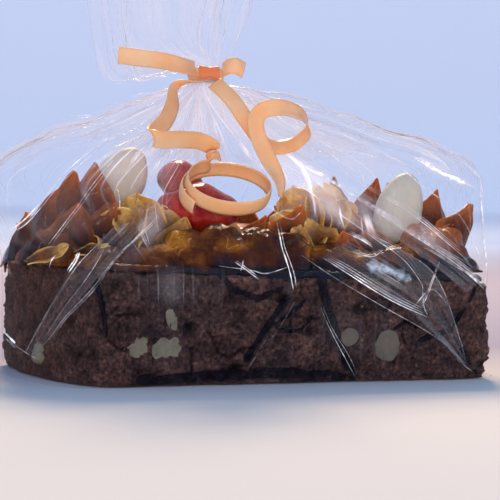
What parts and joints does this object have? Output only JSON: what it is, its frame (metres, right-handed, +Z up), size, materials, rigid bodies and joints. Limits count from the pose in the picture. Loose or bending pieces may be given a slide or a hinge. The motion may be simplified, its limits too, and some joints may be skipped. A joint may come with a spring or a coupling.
{
  "type": "brownie",
  "caption": "Dark brownie bar with piped caramel rosettes, almonds and cherry in a clear bag tied with orange curling ribbon.",
  "frame": {"origin": "on the table, under the middle of the whole object", "axes": "+X along the bar, towards its lower end; the long cut face looks to -Y; +Z up"},
  "size_m": [0.1458, 0.0687, 0.124],
  "materials": {
    "brownie": "matt dark crumb",
    "nut": "matt, cut",
    "glaze": "glossy, poured",
    "caramel": "glossy, piped",
    "almond": "matt, blanched",
    "cherry": "glossy, glazed",
    "candied_fruit": "glossy, see-through at its edges",
    "film": "clear crinkled film",
    "ribbon": "satin curling ribbon"
  },
  "bodies": {
    "root": {"slab": "brownie", "glaze": "glaze", "nut_half_left": "nut", "nut_half_right": "nut", "nut_chip": "nut", "nut_middle": "nut", "nut_right": "nut", "nut_end": "nut", "rosette_left": "caramel", "rosette_middle": "caramel", "rosette_right": "caramel", "almond_left": "almond", "almond_right": "almond", "cherry_front": "cherry", "cherry_back": "cherry", "candied_slice_left": "candied_fruit", "candied_slice_right": "candied_fruit", "candied_peel": "candied_fruit", "bag": "film", "bag_frill": "film", "ribbon_band": "ribbon", "ribbon_knot": "ribbon", "ribbon_tail": "ribbon", "ribbon_stub": "ribbon", "ribbon_curl_left": "ribbon", "ribbon_curl_right": "ribbon"}
  },
  "joints": []
}
